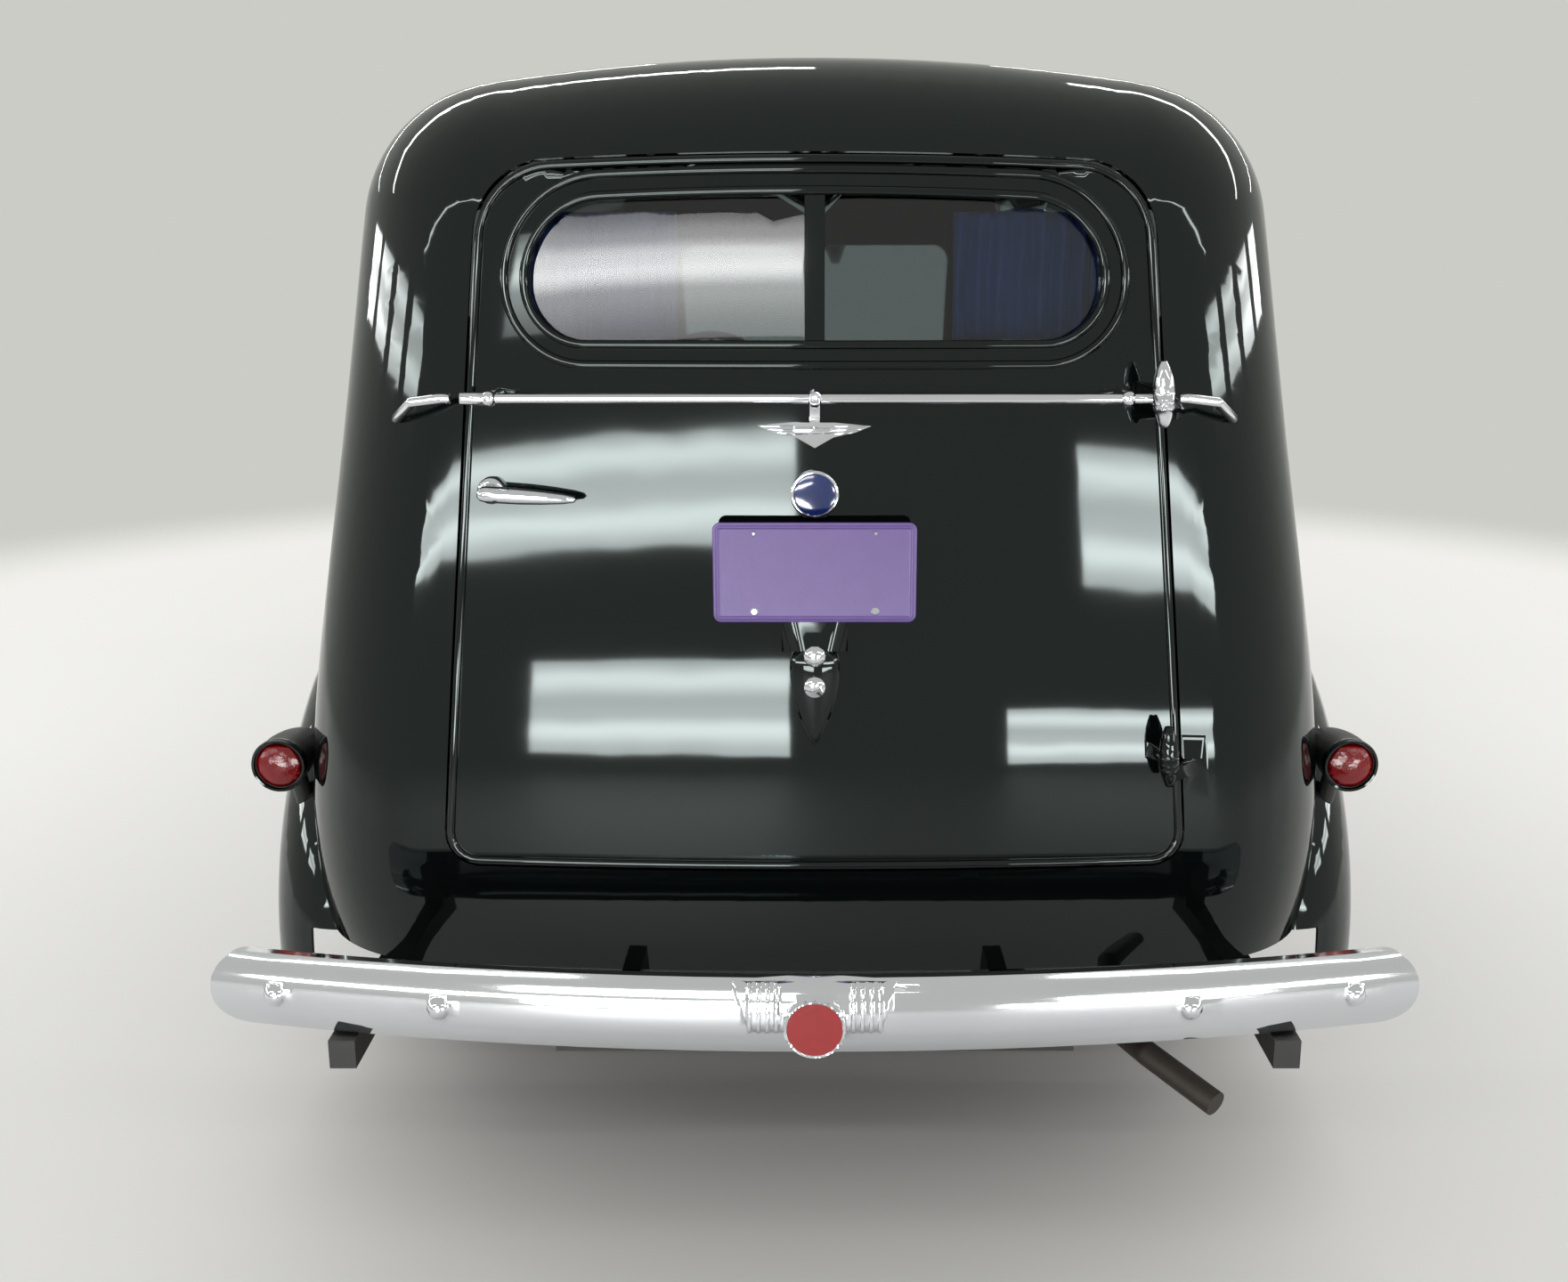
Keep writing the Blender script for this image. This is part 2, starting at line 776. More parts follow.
@dataclass
class Coachwork:
    """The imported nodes: each gets its finish, and the curved ones a smoothly shaded copy."""

    shop: Workshop
    left_for_others: tuple[str, ...] = ()
    smooth_slots: tuple[str, ...] = ("gloss_black", "chrome", "window_glass", "wheel_paint", "red_glass",
                                     "lamp_glass")
    crease: float = 32.0
    sunk: float = -0.003
    raised: float = 0.0075
    facing: float = 0.9
    sweeps: dict[str, Sweep] = field(default_factory=dict)
    faired: dict[str, Vector] = field(default_factory=lambda: {
        "rear_door": BACK, "front_door_right": RIGHT, "front_door_left": -RIGHT,
        "side_door_right": RIGHT, "side_door_left": -RIGHT})

    def dress(self) -> None:
        """Finish every node that no other class stands in for."""
        for node, packed in self.shop.frame["nodes"].items():
            if node in self.left_for_others:
                continue
            slot = self.shop.slot_of(node)
            skin = SKIN_OF_SLOT[slot]
            if slot in self.smooth_slots:
                self.smooth_copy(node, packed, skin)
            else:
                packed.data.materials.clear()
                packed.data.materials.append(self.shop.material(skin))
            LOG.info("node %s gets %s", node, skin.value.name)

    def smooth_copy(self, node: str, packed: bpy.types.Object, skin: Skin) -> None:
        """Stand a merged, smoothly shaded copy in for a curved node.

        Args:
            node: the node's name.
            packed: its packed object.
            skin: its finish.
        """
        mesh = smooth_mesh(merged(packed), f"{node}_skin", self.crease)
        if node in self.faired:
            self.fair(mesh, self.faired[node])
        piece = self.shop.piece(f"{node}_skin", mesh, skin, self.shop.body_of(node))
        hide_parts(node)

    def fair(self, mesh: bpy.types.Mesh, out: Vector) -> None:
        """Shade a panel's outer face as one fair sweep, whatever its facets.

        Args:
            mesh: the panel's merged mesh, already shaded smooth.
            out: the axis that its outer face looks along.
        """
        sweep = Sweep.fitted(mesh, out)
        self.sweeps[mesh.name] = sweep
        corners = numpy.array([vertex.co for vertex in mesh.vertices])
        sign = out[sweep.axis]
        away = sign * (corners[:, sweep.axis] - sweep.depth(corners))
        swept = sweep.normals(corners, sign)
        normals = [(0.0, 0.0, 0.0)] * len(mesh.loops)
        for face in mesh.polygons:
            for loop in face.loop_indices:
                vertex = mesh.loops[loop].vertex_index
                near = Vector(swept[vertex])
                if self.sunk < away[vertex] < self.raised and face.normal.dot(near) > self.facing:
                    normals[loop] = tuple(near)
        mesh.normals_split_custom_set(normals)


@dataclass
class Curtains:
    """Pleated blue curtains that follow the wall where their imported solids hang.

    fullness is the mean depth of the pleats and how much it varies, bunches is how often and from
    where it varies along the cloth, and sway is how far and how often a pleat leans on its way up.
    """

    shop: Workshop
    pleat: float = 0.034
    wave: float = 0.0105
    margin: float = 0.012
    cloth: float = 0.0012
    stand_off: float = 0.009
    fullness: tuple[float, float] = (0.75, 0.25)
    bunches: tuple[float, float] = (7.0, 2.0)
    sway: tuple[float, float] = (0.5, 5.0)
    steps: int = 12
    rows: int = 16
    cab_y: float = -1.5
    search_steps: int = 200

    def dress(self) -> None:
        """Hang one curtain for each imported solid."""
        for node in ("side_curtains", "rear_door_curtains"):
            tree = surface_of(node, self.shop.frame)
            for piece in [self.hang(node, tree, side) for side in Side]:
                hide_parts(node)

    def hang(self, node: str, tree: BVHTree, side: Side) -> bpy.types.Object:
        """Make one curtain.

        Args:
            node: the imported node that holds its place.
            tree: that node's surface.
            side: the side of the car it hangs on.

        Returns:
            The curtain.
        """
        low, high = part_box(node)
        along_car = node == "side_curtains"
        if along_car:
            start, end = low[1] + self.margin, high[1] - self.margin
        else:
            inner = self.inner_edge(tree, side, low, high)
            start, end = inner + self.margin, high[0] - self.margin
        bottom, top = low[2] + self.margin, high[2] - self.margin
        pleats = round((end - start) / self.pleat)
        (full, spread), (bunches, first_bunch), (lean, leans) = self.fullness, self.bunches, self.sway

        def spot(across: float, up: float) -> Vector:
            """Give the cloth's point on the wall's inner face, with its pleat."""
            place = start + (end - start) * across
            height = bottom + (top - bottom) * up
            if along_car:
                origin = Vector((0.0, place, height))
                aim = Vector((side.value, 0.0, 0.0))
            else:
                origin = Vector((side.value * place, self.cab_y, height))
                aim = BACK
            hit = tree.ray_cast(origin, aim)[0]
            wall = hit if hit is not None else origin + aim
            gather = full + spread * math.sin(bunches * across + first_bunch)
            fold = math.sin(math.tau * pleats * across + lean * math.sin(leans * up))
            return wall + aim * (self.stand_off + self.wave * gather * fold)

        columns = pleats * self.steps
        mesh = mesh_from(f"{node}_{side.tag}", lambda form: grid(form, columns, self.rows, spot),
                         crease=180.0, turn_out=False)
        piece = self.shop.piece(f"curtain_{node}_{side.tag}", mesh, Skin.CURTAIN, self.shop.body_of(node))
        thicken(piece, self.cloth, offset=0.0)
        return piece

    def inner_edge(self, tree: BVHTree, side: Side, low: Sequence[float], high: Sequence[float]) -> float:
        """Find how near the middle of the car a rear curtain starts.

        Args:
            tree: the curtains' packed surface.
            side: the side of the car.
            low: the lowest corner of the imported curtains.
            high: their highest corner.

        Returns:
            The distance from the middle.
        """
        height = (low[2] + high[2]) / 2
        places = (high[0] * step / self.search_steps for step in range(self.search_steps))
        return next(place for place in places
                    if tree.ray_cast(Vector((side.value * place, self.cab_y, height)), BACK)[0] is not None)

    @staticmethod
    def carrier(node: str) -> str:
        """Give the node that a curtain hangs from."""
        return "rear_door" if node == "rear_door_curtains" else "body_sides"


@dataclass
class Bench:
    """The front seat: a sewn cushion and back on a plain base."""

    shop: Workshop
    channel: float = 0.095
    groove: float = 0.011
    back_deep: float = 0.13
    cushion_top: float = 0.88
    base_top: float = 0.742
    power: float = 7.0
    cuts: int = 60
    seam_wide: float = 0.009
    sewn_from: float = 0.3
    sewn_fade: float = 0.4
    tuck: float = 0.02
    inset: float = 0.04
    bevel: float = 0.012
    fill: float = 0.7

    def dress(self) -> None:
        """Make the cushion, the back and the base."""
        low, high = corners_of("front_seat")
        back_front = low.y + self.back_deep
        cushion = self.pad("bench_cushion", Vector((low.x, back_front - self.tuck, self.base_top)),
                           Vector((high.x, high.y, self.cushion_top)), up=True)
        back = self.pad("bench_back", Vector((low.x, low.y, self.base_top)),
                        Vector((high.x, back_front, high.z)), up=False)
        base = self.base(low, high)
        for piece in (cushion, back, base):
            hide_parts("front_seat")

    def pad(self, name: str, low: Vector, high: Vector, up: bool) -> bpy.types.Object:
        """Make a crowned pad with channels sewn across it.

        Args:
            name: the piece's name.
            low: its lowest corner.
            high: its highest corner.
            up: whether its sewn face is the top one, or else the front one.

        Returns:
            The pad.
        """
        middle = (low + high) / 2
        half = (high - low) / 2

        def shape(form: bmesh.types.BMesh) -> None:
            """Round a divided cube and press the channels into it."""
            bmesh.ops.create_cube(form, size=2.0)
            bmesh.ops.subdivide_edges(form, edges=form.edges, cuts=self.cuts, use_grid_fill=True)
            for vertex in form.verts:
                spot = vertex.co.copy()
                reach = max(abs(value) for value in spot)
                spread = sum(abs(value / reach) ** self.power for value in spot) ** (1 / self.power)
                spot *= 1.0 / spread
                point = Vector((middle.x + spot.x * half.x, middle.y + spot.y * half.y,
                                middle.z + spot.z * half.z))
                face = spot.z if up else spot.y
                if face > self.sewn_from:
                    phase = (point.x / self.channel) % 1.0
                    press = math.exp(-((min(phase, 1.0 - phase) * self.channel / self.seam_wide) ** 2))
                    sunk = self.groove * press * min(1.0, (face - self.sewn_from) / self.sewn_fade)
                    point -= Vector((0.0, 0.0, sunk)) if up else Vector((0.0, sunk, 0.0))
                vertex.co = point

        mesh = mesh_from(name, shape, crease=180.0)
        return self.shop.piece(name, mesh, Skin.LEATHER, "car")

    def base(self, low: Vector, high: Vector) -> bpy.types.Object:
        """Make the box that the cushion rests on.

        Args:
            low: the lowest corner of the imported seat.
            high: its highest corner.

        Returns:
            The box.
        """
        def shape(form: bmesh.types.BMesh) -> None:
            """Add the box with bevelled edges."""
            bmesh.ops.create_cube(form, size=1.0)
            for vertex in form.verts:
                vertex.co.x *= high.x - low.x - 2 * self.inset
                vertex.co.y = (low.y + high.y) / 2 + vertex.co.y * (high.y - low.y - 2 * self.inset)
                vertex.co.z = (low.z + self.base_top) / 2 + vertex.co.z * (self.base_top - low.z)
            bmesh.ops.bevel(form, geom=form.edges[:], offset=self.bevel, segments=3, affect="EDGES")

        return self.shop.piece("bench_base", mesh_from("bench_base", shape), Skin.ENAMEL, "car")


@dataclass
class Tyre:
    """One cross-ply tyre: ribbed tread, shoulder blocks and rings moulded on its walls.

    bead is its place across and its radius, wall_ring how far it stands out and half its width, and
    block_place is how far the blocks stand to the side and how far under the outer radius.
    """

    shop: Workshop
    place: Place
    side: Side
    rib_count: int = 5
    rib_deep: float = 0.007
    rib_gap: float = 0.006
    crown_drop: float = 0.011
    shoulder: float = 0.06
    bulge_r: float = 0.285
    bead: tuple[float, float] = (0.062, 0.2053)
    wall_ring: tuple[float, float] = (0.0012, 0.003)
    steps: int = 120
    crease: float = 30.0
    block_count: int = 54
    block: Point = (0.014, 0.013, 0.010)
    block_place: tuple[float, float] = (0.0615, 0.019)

    @property
    def node(self) -> str:
        """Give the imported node's name."""
        return f"tyre_{self.place.value}_{self.side.tag}"

    def dress(self) -> None:
        """Make the tyre and its shoulder blocks."""
        low, high = corners_of(self.node)
        centre = (low + high) / 2
        radius = (high.z - low.z) / 2
        half = (high.x - low.x) / 2
        body = self.shop.body_of(self.node)
        piece = self.shop.spin(self.node + "_rubber", self.profile(radius, half), centre, RIGHT,
                               Skin.TYRE, body, self.steps, self.crease)
        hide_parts(self.node)
        aside, inset = self.block_place
        reach = radius - inset
        spots = []
        for step in range(self.block_count):
            for side in Side:
                angle = math.tau * (step + 0.25 * side.value) / self.block_count
                spot = Vector((side.value * aside, -math.sin(angle) * reach, math.cos(angle) * reach))
                spots.append((centre + spot, Euler((angle, 0.0, 0.0))))
        self.shop.repeat(self.node + "_blocks", Unit.BLOCK, dict(zip("XYZ", self.block)), spots,
                         Skin.TYRE, body)

    def profile(self, radius: float, half: float) -> list[tuple[float, float]]:
        """Give the closed section as distance from the middle and radius.

        Args:
            radius: the tyre's outer radius.
            half: half its width.

        Returns:
            The section's points, once round.
        """
        (bead, bead_r), shoulder, shoulder_r = self.bead, self.shoulder, radius - self.crown_drop
        wall = [(bead + (half - bead) * math.sin(math.pi / 2 * share),
                 bead_r + (self.bulge_r - bead_r) * share) for share in (0.0, 0.25, 0.5, 0.75, 1.0)]
        upper = [(shoulder + (half - shoulder) * math.cos(math.pi / 2 * share),
                  self.bulge_r + (shoulder_r - self.bulge_r) * math.sin(math.pi / 2 * share))
                 for share in (0.3, 0.6, 0.85, 1.0)]
        (across, high), (proud, ring_half) = wall[3], self.wall_ring
        ring = [(across + proud, high - ring_half), (across + proud, high + ring_half)]
        outer = wall[:3] + ring + wall[4:] + upper
        tread = []
        lip = self.rib_gap / 2
        pitch = 2 * shoulder / self.rib_count
        for rib in range(self.rib_count):
            right = shoulder - rib * pitch
            left = right - pitch
            for place, lowered in ((right - lip, 0.0), (left + lip, 0.0),
                                   (left + lip, self.rib_deep), (left - lip, self.rib_deep)):
                if rib == self.rib_count - 1 and lowered:
                    continue
                crown = radius - self.crown_drop * (place / shoulder) ** 2
                tread.append((place, crown - lowered))
        left_side = [(-along, reach) for along, reach in reversed(outer)]
        loop = outer + tread + left_side
        return loop + [loop[0]]


@dataclass
class PlatedParts:
    """Bright plate on parts of black nodes: the upper rear hinge and the side door handles.

    probe is where a look for the wall starts, how far under the handle it goes, and how far out of
    the wall the handle begins.
    """

    shop: Workshop
    lift: float = 0.0004
    sheet: float = 0.0003
    hinge: Point = (0.512, -2.632, 1.363)
    hinge_foot: Point = (0.549, -2.632, 0.806)
    barrel_reach: float = 0.0168
    barrel_half: float = 0.0485
    handle_z: float = 0.985
    handle_half: float = 0.013
    probe: Point = (2.0, 0.03, 0.001)
    crease: float = 32.0
    handle_ranges: dict[str, tuple[float, float]] = field(default_factory=lambda: {
        "front_door": (-0.172, -0.03), "side_door": (-0.502, -0.358)})

    def dress(self) -> None:
        """Plate each part."""
        centre = Vector(self.hinge)
        along = (centre - Vector(self.hinge_foot)).normalized()

        def on_barrel(point: Vector) -> bool:
            """Tell whether a point is on the upper hinge's barrel."""
            reach = point - centre
            height = reach.dot(along)
            return abs(height) < self.barrel_half and (reach - along * height).length < self.barrel_reach

        for node in ("rear_door", "tail_panel"):
            self.plate(f"hinge_plate_{node}", node, on_barrel)
        far, below, proud = self.probe
        for door, (rear, front) in self.handle_ranges.items():
            for side in Side:
                node = f"{door}_{side.tag}"
                start = Vector((far * side.value, (rear + front) / 2, self.handle_z - below))
                aim = Vector((-side.value, 0.0, 0.0))
                wall = abs(surface_of(node, self.shop.frame).ray_cast(start, aim)[0].x) + proud

                def on_handle(point: Vector) -> bool:
                    """Tell whether a point stands out of the wall on the handle."""
                    return (abs(point.x) > wall and rear < point.y < front
                            and abs(point.z - self.handle_z) < self.handle_half)

                self.plate(f"handle_plate_{node}", node, on_handle)

    def plate(self, name: str, node: str, chosen: Callable[[Vector], bool]) -> None:
        """Lay a thin bright shell over the chosen faces of a node.

        Args:
            name: the new piece's name.
            node: the node under it.
            chosen: tells for a point whether it gets the plate.
        """
        form = merged(self.shop.frame["nodes"][node])
        spare = [face for face in form.faces if not all(chosen(vertex.co) for vertex in face.verts)]
        bmesh.ops.delete(form, geom=spare, context="FACES")
        form.normal_update()
        for vertex in form.verts:
            vertex.co += vertex.normal * self.lift
        mesh = smooth_mesh(form, name, self.crease)
        piece = self.shop.piece(name, mesh, Skin.CHROME, self.shop.body_of(node))
        thicken(piece, self.sheet)


@dataclass
class RearTrim:
    """The blank number plate with its screws, the bare badge, the winged ornament and the handle.

    Profiles turned on the axis hold distance and radius. rim is how far in and how far out. The
    first feather starts and ends at a reach and a height (feather_start, feather_end), and the third
    number there is each next one's fall; feather_end's second number is how much shorter each is.
    bar is half its length, its height, half its width and its depth. rib_shares gives a rib's
    thickness along it.
    """

    shop: Workshop
    plate_y: float = -2.649
    plate_z: float = 1.100
    plate_half: tuple[float, float] = (0.1525, 0.076)
    corner: float = 0.012
    corner_steps: int = 8
    rim: tuple[tuple[float, float], ...] = (
        (0.0, 0.0), (0.0006, 0.0008), (0.0025, 0.0010), (0.0045, 0.0012), (0.0055, 0.0022),
        (0.0068, 0.0027), (0.0081, 0.0022), (0.0092, 0.0012), (0.011, 0.0010))
    sheet: float = 0.0012
    screw_at: Point = (0.091, -0.0014, 0.0595)
    screw_radii: dict[str, float] = field(default_factory=lambda: {
        "plate_screws": 0.0062, "plate_eyelets": 0.0042})
    screw_taper: float = 0.6
    screw_deep: float = 0.0022
    screw_sides: int = 20
    behind: float = -4.0
    badge_z: float = 1.211
    badge_enamel: Profile = ((-0.001, 0.0), (-0.001, 0.031), (0.0012, 0.0308), (0.0020, 0.028),
                             (0.0026, 0.015), (0.0028, 0.0))
    badge_rim: Profile = ((-0.001, 0.0312), (-0.001, 0.0362), (0.002, 0.0362), (0.0032, 0.0345),
                          (0.0032, 0.0325), (0.0018, 0.0312), (-0.001, 0.0312))
    wings_z: float = 1.300
    wings_probe: tuple[float, float] = (0.05, 0.006)
    feather_rows: int = 3
    feather_start: Point = (0.030, 0.0125, 0.0062)
    feather_end: Point = (0.082, 0.012, 0.0048)
    bar: tuple[float, float, float, float] = (0.031, 0.006, 0.0065, 0.003)
    rib_shares: Profile = ((0.0, 0.7), (0.08, 1.0), (0.85, 0.8), (1.0, 0.3))
    rib_root: float = 0.001
    rib_sides: int = 6
    grip_at: Point = (0.021, 0.011, -0.021)
    grip_lean: float = -0.06
    grip: Profile = ((-0.014, 0.0), (-0.0135, 0.006), (-0.009, 0.0105), (0.0, 0.0125), (0.02, 0.0125),
                     (0.05, 0.0122), (0.085, 0.0105), (0.115, 0.0078), (0.131, 0.0048), (0.136, 0.0))
    grip_foot_r: float = 0.0205
    grip_foot_sunk: float = 0.004
    grip_neck: Profile = ((-0.036, 0.0205), (-0.0325, 0.018), (-0.031, 0.0125), (-0.012, 0.0105),
                          (0.0, 0.0095), (0.0, 0.0))
    grip_steps: int = 40
    grip_crease: float = 50.0

    def dress(self) -> None:
        """Make each piece of the trim."""
        self.plate()
        self.screws()
        self.badge()
        self.wings()
        self.handle()

    def handle(self) -> None:
        """Turn the rear handle: a round foot, a neck and a full, tapering grip."""
        low, high = corners_of("door_handle")
        right, ahead, up = self.grip_at
        middle = Vector((low.x + right, low.y + ahead, high.z + up))
        foot_at = ahead - (high.y - low.y) - self.grip_foot_sunk
        foot = [(foot_at, 0.0), (foot_at, self.grip_foot_r), *self.grip_neck]
        sweep = Vector((1.0, 0.0, self.grip_lean)).normalized()
        for name, profile, axis in (("handle_foot", foot, BACK), ("handle_grip", self.grip, sweep)):
            piece = self.shop.spin(name, profile, middle, axis, Skin.CHROME, "rear_door",
                                   self.grip_steps, self.grip_crease)
            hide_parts("door_handle")

    def ring(self, inset: float) -> list[tuple[float, float]]:
        """Give the plate's rounded outline, moved in by a distance.

        Args:
            inset: the distance.

        Returns:
            The outline's points as X and Z from the plate's middle.
        """
        wide, high = (half - inset for half in self.plate_half)
        radius = max(self.corner - inset, 0.002)
        points = []
        for turn, (sign_x, sign_z) in enumerate(((1, 1), (-1, 1), (-1, -1), (1, -1))):
            for step in range(self.corner_steps + 1):
                angle = math.radians(90.0 * (turn + step / self.corner_steps))
                points.append((sign_x * (wide - radius) + radius * math.cos(angle),
                               sign_z * (high - radius) + radius * math.sin(angle)))
        return points

    def plate(self) -> None:
        """Press the blank plate with its raised rim."""
        def press(form: bmesh.types.BMesh) -> None:
            """Join the outlines from the edge inwards and close the middle."""
            rings = [[form.verts.new((x, self.plate_y - out, self.plate_z + z)) for x, z in self.ring(inset)]
                     for inset, out in self.rim]
            join_rings(form, rings)
            form.faces.new(rings[-1])

        mesh = mesh_from("plate", press, crease=60.0, turn_out=False)
        if mesh.polygons[-1].normal.y > 0:
            mesh.flip_normals()
        piece = self.shop.piece("blank_plate", mesh, Skin.PLATE, "rear_door")
        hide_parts("number_plate")
        thicken(piece, self.sheet)

    def screws(self) -> None:
        """Set two screws and two eyelets in the plate."""
        across, out, high = self.screw_at
        facing = Euler((math.radians(90.0), 0.0, 0.0))
        heads = [(Vector((x * across, self.plate_y + out, self.plate_z + z * high)), facing)
                 for z in (-1, 1) for x in (-1, 1)]
        for (name, radius), spots in zip(self.screw_radii.items(), (heads[:2], heads[2:])):
            sizes = {"Sides": self.screw_sides, "Foot": radius, "Top": radius * self.screw_taper,
                     "Depth": self.screw_deep}
            self.shop.repeat(name, Unit.HEAD, sizes, spots, Skin.CHROME, "rear_door")

    def face_y(self, node: str, x: float, z: float) -> float:
        """Find where a node's rear face is.

        Args:
            node: the node.
            x: how far to the right to look.
            z: how high to look.

        Returns:
            The face's Y.
        """
        start = Vector((x, self.behind, z))
        return surface_of(node, self.shop.frame).ray_cast(start, FORWARD)[0].y

    def badge(self) -> None:
        """Lay bare blue enamel in the badge's bright rim."""
        centre = Vector((0.0, self.face_y("badge", 0.0, self.badge_z), self.badge_z))
        for name, profile, skin in (("badge_enamel", self.badge_enamel, Skin.BLUE_ENAMEL),
                                    ("badge_rim", self.badge_rim, Skin.CHROME)):
            self.shop.spin(name, profile, centre, BACK, skin, "rear_door")

    def wings(self) -> None:
        """Raise plain feathers and a bare bar on the ornament."""
        across, high = self.wings_probe
        face_y = self.face_y("rail_bar", across, self.wings_z + high)
        start_x, top, start_fall = self.feather_start
        end_x, shorter, end_fall = self.feather_end
        bar_half, bar_z, bar_wide, bar_tall = self.bar

        def carve(form: bmesh.types.BMesh) -> None:
            """Add three feathers on each side and the bar across the middle."""
            for side in Side:
                for step in range(self.feather_rows):
                    start = Vector((start_x, 0.0, top - start_fall * step))
                    end = Vector((end_x - shorter * step, 0.0, top - end_fall * step))
                    self.feather(form, start, end, side.value, face_y)
            self.feather(form, Vector((-bar_half, 0.0, bar_z)), Vector((bar_half, 0.0, bar_z)), 1, face_y,
                         wide=bar_wide, tall=bar_tall)

        mesh = mesh_from("wing_feathers", carve, crease=50.0)
        self.shop.piece("wing_feathers", mesh, Skin.CHROME, "rear_door")

    def feather(self, form: bmesh.types.BMesh, start: Vector, end: Vector, sign: int, face_y: float,
                wide: float = 0.0022, tall: float = 0.002) -> None:
        """Add one raised rib with a round back.

        Args:
            form: the bmesh that gets it.
            start: its inner end, from the ornament's middle.
            end: its outer end.
            sign: which way X points.
            face_y: where the ornament's face is.
            wide: half its width.
            tall: how far it stands out.
        """
        rings = []
        root = self.rib_root
        for along, share in self.rib_shares:
            spot = start.lerp(end, along)
            ring = []
            for step in range(self.rib_sides + 1):
                angle = math.pi * step / self.rib_sides
                ring.append(form.verts.new((
                    sign * spot.x, face_y + root - (tall + root) * share * math.sin(angle),
                    self.wings_z + spot.z + wide * share * math.cos(angle))))
            rings.append(ring)
        join_rings(form, rings)
        form.faces.new(rings[0])
        form.faces.new(rings[-1])


@dataclass
class DoorBeads:
    """Round beads pressed into the rear door: two round the window and one along its edge.

    Each outline holds its lowest and shoulder height with half its width there, the height of
    its crown, and its lower and upper corner radius.
    """

    shop: Workshop
    sweep: Sweep
    window: tuple[float, ...] = (1.436, 0.430, 1.636, 0.430, 1.650, 0.085, 0.110)
    edge: tuple[float, ...] = (0.617, 0.588, 1.690, 0.497, 1.704, 0.048, 0.112)
    half: float = 0.0066
    high: float = 0.0057
    sides: int = 10
    spacing: float = 0.012
    corner_steps: int = 6
    sunk: float = 0.0004
    root: float = 0.002
    window_grow: tuple[float, float] = (0.0045, 0.0345)
    edge_grow: float = -0.0045

    def dress(self) -> None:
        """Press the three beads."""
        inner, outer = self.window_grow
        for name, outline, grow in (("bead_window", self.window, inner),
                                    ("bead_surround", self.window, outer),
                                    ("bead_edge", self.edge, self.edge_grow)):
            line = self.outline(outline, grow)
            mesh = mesh_from(name, lambda form, path=line: self.press(form, path), crease=60.0)
            self.shop.piece(name, mesh, Skin.LACQUER, "rear_door")

    def outline(self, shape: tuple[float, ...], grow: float) -> list[Vector]:
        """Give the bead's middle line on the flat, as X and Z.

        Args:
            shape: the outline's measures.
            grow: how far outside the outline the line runs.

        Returns:
            Evenly spaced points once round.
        """
        low_z, low_half, high_z, high_half, top_z, low_r, high_r = shape
        corners = [Vector((low_half + grow, low_z - grow)), Vector((high_half + grow, high_z + grow)),
                   Vector((-high_half - grow, high_z + grow)), Vector((-low_half - grow, low_z - grow))]
        radii = [low_r + grow, high_r + grow, high_r + grow, low_r + grow]
        line: list[Vector] = []
        for place, (corner, radius) in enumerate(zip(corners, radii)):
            before = (corners[place - 1] - corner).normalized()
            after = (corners[(place + 1) % 4] - corner).normalized()
            opening = before.angle(after)
            away = radius / math.tan(opening / 2)
            middle = corner + (before + after).normalized() * radius / math.sin(opening / 2)
            first, last = corner + before * away - middle, corner + after * away - middle
            sweep = first.angle_signed(last)
            steps = max(self.corner_steps, round(abs(sweep) * radius / self.spacing))
            for step in range(steps + 1):
                angle = -sweep * step / steps
                line.append(middle + Vector((first.x * math.cos(angle) - first.y * math.sin(angle),
                                             first.x * math.sin(angle) + first.y * math.cos(angle))))
        even: list[Vector] = []
        for start, end in zip(line, line[1:] + line[:1]):
            steps = max(1, round((end - start).length / self.spacing))
            even += [start.lerp(end, step / steps) for step in range(steps)]
        middle_z, half_high = (low_z + high_z) / 2, (high_z - low_z) / 2
        for spot in even:
            share = max(0.0, 1.0 - (spot.x / (high_half + grow)) ** 2)
            if spot.y > middle_z:
                spot.y += (top_z - high_z) * share * min(1.0, (spot.y - middle_z) / half_high)
        return even

    def press(self, form: bmesh.types.BMesh, line: list[Vector]) -> None:
        """Run a half-round section along a line on the door's surface.

        Args:
            form: the bmesh that gets the bead.
            line: the bead's middle line, as X and Z.
        """
        flat = numpy.array([(spot.x, 0.0, spot.y) for spot in line])
        depths = self.sweep.depth(flat)
        normals = self.sweep.normals(flat, -1.0)
        rings = []
        for place, spot in enumerate(line):
            out = Vector(normals[place])
            before, after = line[place - 1], line[(place + 1) % len(line)]
            along = Vector((after.x - before.x, 0.0, after.y - before.y)).normalized()
            along = (along - out * along.dot(out)).normalized()
            aside = along.cross(out)
            middle = Vector((spot.x, depths[place], spot.y))
            ring = []
            for step in range(self.sides + 1):
                angle = math.pi * step / self.sides
                ring.append(form.verts.new(middle + aside * self.half * math.cos(angle)
                                           + out * (self.high * math.sin(angle) - self.sunk)))
            ring.append(form.verts.new(middle - out * self.root))
            rings.append(ring)
        join_rings(form, rings + rings[:1])


